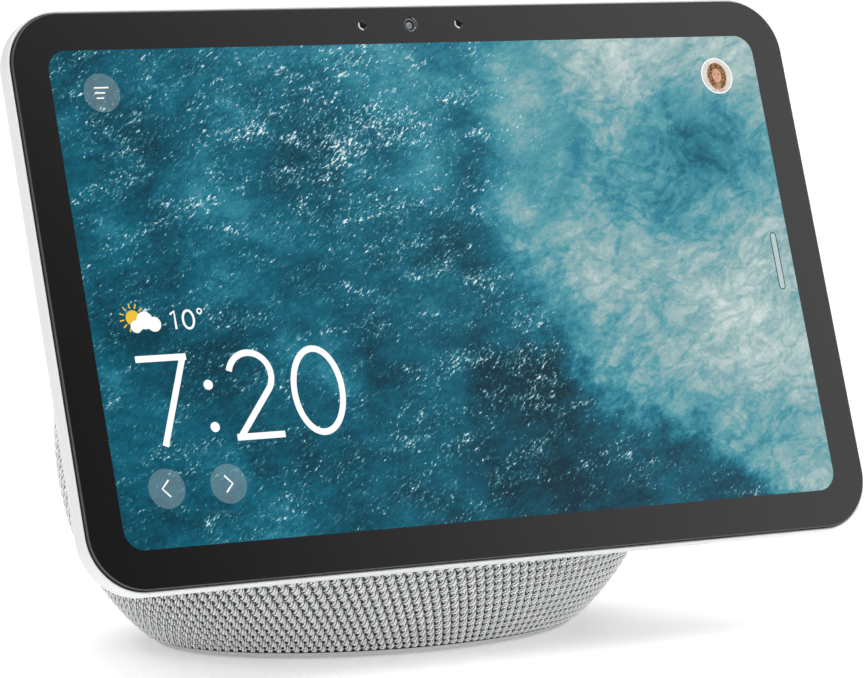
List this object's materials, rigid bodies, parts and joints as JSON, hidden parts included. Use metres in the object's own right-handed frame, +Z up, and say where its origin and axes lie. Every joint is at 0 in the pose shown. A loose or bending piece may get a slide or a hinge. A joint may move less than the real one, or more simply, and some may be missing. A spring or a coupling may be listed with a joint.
{
  "type": "smart display",
  "caption": "Tabletop smart display: a touch screen leaning back on a rounded fabric-covered speaker base, with edge buttons, camera and microphone ports.",
  "frame": {"origin": "on the table, under the middle of the whole object", "axes": "+Z up; the screen faces -Y and leans back 19.4 degrees; +X is to the right of someone looking at the screen"},
  "size_m": [0.2089, 0.1152, 0.1503],
  "materials": {
    "black_glass": "clear polished glass with a black printed border",
    "gasket_rubber": "soft foam rubber",
    "screen_panel": "lit picture under clear glass",
    "diffuser": "white film",
    "sheet_steel": "bright plated sheet",
    "white_plastic": "fine satin white",
    "circuit_board": "green solder mask",
    "copper": "bare copper",
    "lens_ring": "dark anodised ring",
    "lens_glass": "polished coated lens",
    "dark_plastic": "black moulded plastic",
    "microphone_can": "pressed metal can",
    "button_plastic": "satin white",
    "bare_aluminium": "extruded",
    "knitted_fabric": "chunky light grey knit",
    "foot_rubber": "matt grey rubber",
    "ballast_steel": "plain mild steel",
    "socket_plastic": "black with a bright centre pin",
    "ferrite": "dark sintered ceramic and steel",
    "cone_paper": "pressed pulp",
    "surround_rubber": "soft half roll",
    "spider_cloth": "treated corrugated cloth",
    "screw_steel": "plated steel"
  },
  "bodies": {
    "display_and_base": {"front_glass": "black_glass", "glass_gasket": "gasket_rubber", "lcd_panel": "screen_panel", "backlight_unit": "diffuser", "panel_frame": "sheet_steel", "display_shell": "white_plastic", "mount_plate": "sheet_steel", "driver_board": "circuit_board", "left_antenna": "copper", "right_antenna": "copper", "camera_ring": "lens_ring", "camera_lens": "lens_glass", "camera_module": "dark_plastic", "left_microphone": "microphone_can", "right_microphone": "microphone_can", "button_board": "circuit_board", "front_plate": "dark_plastic", "neck_screw_1": "screw_steel", "neck_screw_2": "screw_steel", "neck_screw_3": "screw_steel", "neck_screw_4": "screw_steel", "display_cable": "copper", "main_board": "circuit_board", "processor_shield": "sheet_steel", "heat_sink": "bare_aluminium", "fabric_cover": "knitted_fabric", "base_shell": "dark_plastic", "bottom_plate": "white_plastic", "foot_ring": "foot_rubber", "bottom_screw_1": "screw_steel", "bottom_screw_2": "screw_steel", "bottom_screw_3": "screw_steel", "bottom_screw_4": "screw_steel", "ballast_weight": "ballast_steel", "power_board": "circuit_board", "power_jack": "socket_plastic", "power_port": "white_plastic", "woofer_basket": "dark_plastic", "woofer_magnet": "ferrite", "woofer_surround": "surround_rubber", "woofer_spider": "spider_cloth", "woofer_baffle": "dark_plastic", "left_driver_frame": "dark_plastic", "left_driver_magnet": "ferrite", "left_driver_surround": "surround_rubber", "right_driver_frame": "dark_plastic", "right_driver_magnet": "ferrite", "right_driver_surround": "surround_rubber"},
    "microphone_off_button": {"microphone_off_button": "button_plastic"},
    "volume_up_button": {"volume_up_button": "button_plastic"},
    "volume_down_button": {"volume_down_button": "button_plastic"},
    "woofer_diaphragm": {"woofer_cone": "cone_paper", "woofer_coil": "copper"},
    "left_driver_diaphragm": {"left_driver_cone": "cone_paper"},
    "right_driver_diaphragm": {"right_driver_cone": "cone_paper"}
  },
  "joints": [
    {"name": "microphone_off_press", "type": "slide", "parent": "display_and_base", "child": "microphone_off_button", "axis": [-1, 0, 0], "range_m": [0, 0.0004], "stiffness_N_per_m": 2500},
    {"name": "volume_up_press", "type": "slide", "parent": "display_and_base", "child": "volume_up_button", "axis": [-1, 0, 0], "range_m": [0, 0.0004], "stiffness_N_per_m": 2500},
    {"name": "volume_down_press", "type": "slide", "parent": "display_and_base", "child": "volume_down_button", "axis": [-1, 0, 0], "range_m": [0, 0.0004], "stiffness_N_per_m": 2500},
    {"name": "woofer_stroke", "type": "slide", "parent": "display_and_base", "child": "woofer_diaphragm", "axis": [0, 1, 0], "range_m": [-0.003, 0.003], "stiffness_N_per_m": 1200, "deforming": ["woofer_surround", "woofer_spider"]},
    {"name": "left_driver_stroke", "type": "slide", "parent": "display_and_base", "child": "left_driver_diaphragm", "axis": [-0.8192, -0.5736, 0], "range_m": [-0.001, 0.001], "stiffness_N_per_m": 1800, "deforming": ["left_driver_surround"]},
    {"name": "right_driver_stroke", "type": "slide", "parent": "display_and_base", "child": "right_driver_diaphragm", "axis": [0.8192, -0.5736, 0], "range_m": [-0.001, 0.001], "stiffness_N_per_m": 1800, "deforming": ["right_driver_surround"]}
  ]
}
